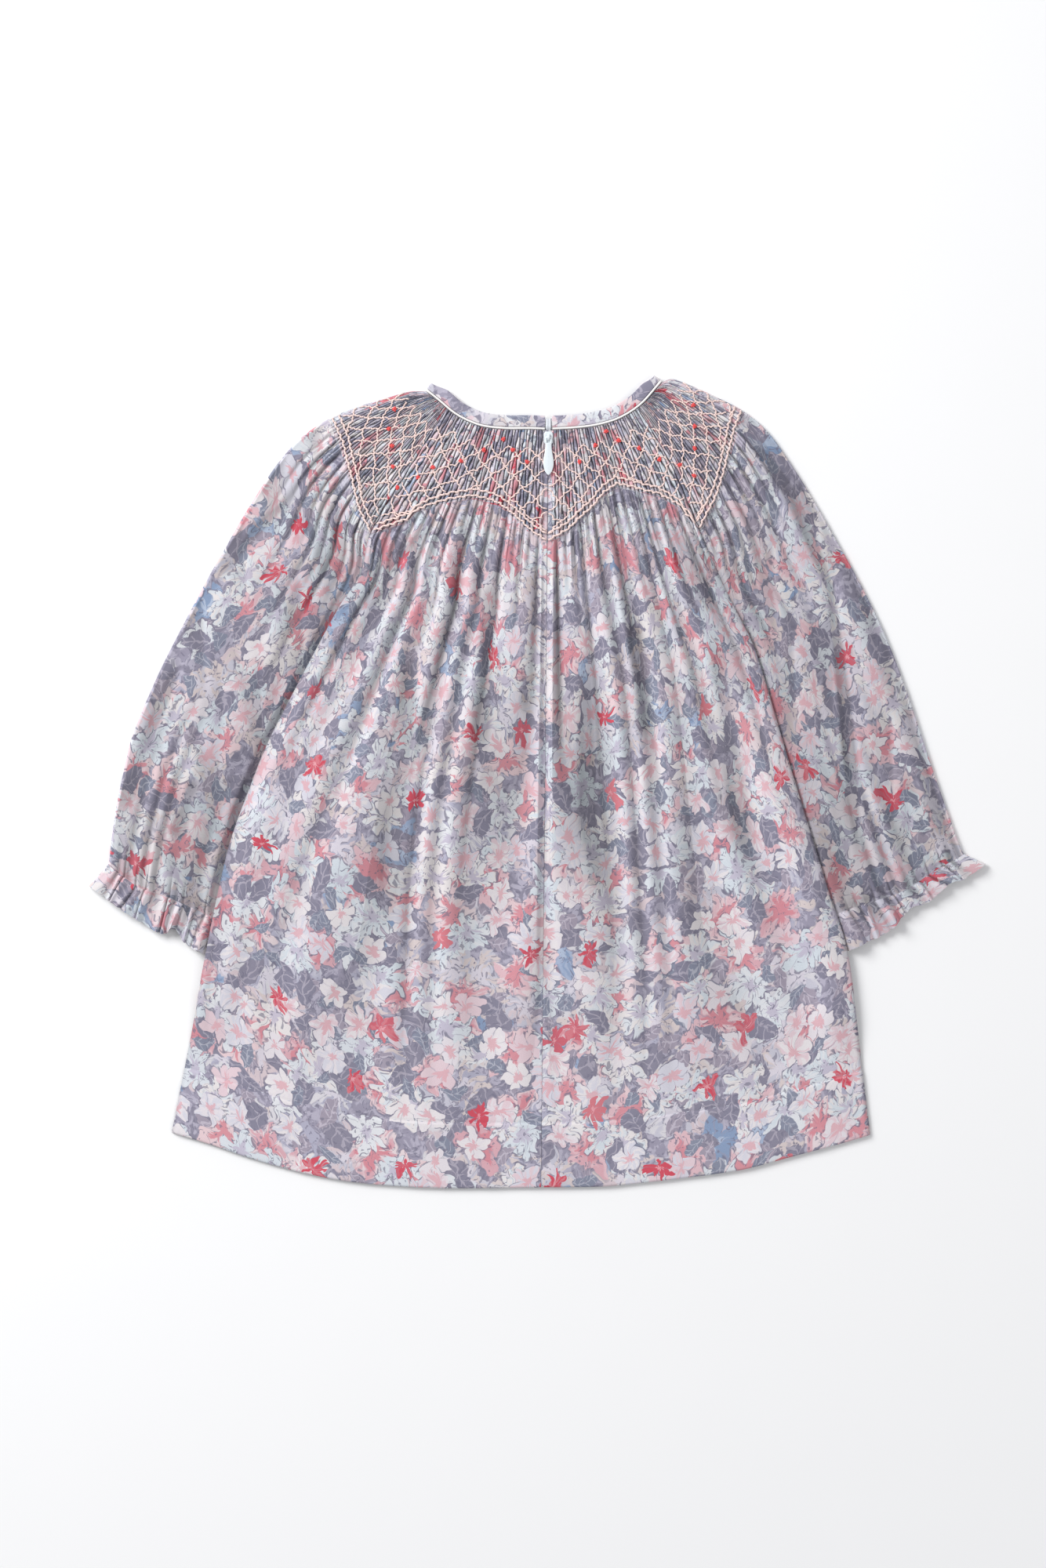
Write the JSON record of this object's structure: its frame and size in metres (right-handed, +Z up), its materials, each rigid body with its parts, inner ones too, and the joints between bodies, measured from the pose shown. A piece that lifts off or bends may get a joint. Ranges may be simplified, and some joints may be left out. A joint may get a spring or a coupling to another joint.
{
  "type": "smocked dress",
  "caption": "Child's long-sleeved smocked bishop dress laid flat with its back up, with a bound and piped neck, elastic cuffs with frills and a centre-back zip whose pull turns.",
  "frame": {"origin": "middle of the dress's outline in the plan, on the surface it lies on", "axes": "+X from the left sleeve to the right one as the picture shows them, +Y from the hem to the neck, +Z up from the surface through the front to the back"},
  "size_m": [0.5038, 0.4564, 0.0083],
  "materials": {
    "printed_cotton": "woven, soft",
    "white_piping": "woven, soft",
    "white_tape": "woven, flat",
    "white_zip": "glossy enamel"
  },
  "bodies": {
    "dress": {"front": "printed_cotton", "back_left": "printed_cotton", "back_right": "printed_cotton", "sleeve_left": "printed_cotton", "sleeve_right": "printed_cotton", "neck_binding": "printed_cotton", "neck_piping": "white_piping", "zip_tape": "white_tape", "zip_slider": "white_zip"},
    "pull_tab": {"zip_pull": "white_zip"}
  },
  "joints": [
    {"name": "pull_hinge", "type": "hinge", "parent": "dress", "child": "pull_tab", "pos_m": [0.00635, 0.1926, 0.00595], "axis": [-1, 0, 0], "range_deg": [0, 165]}
  ]
}
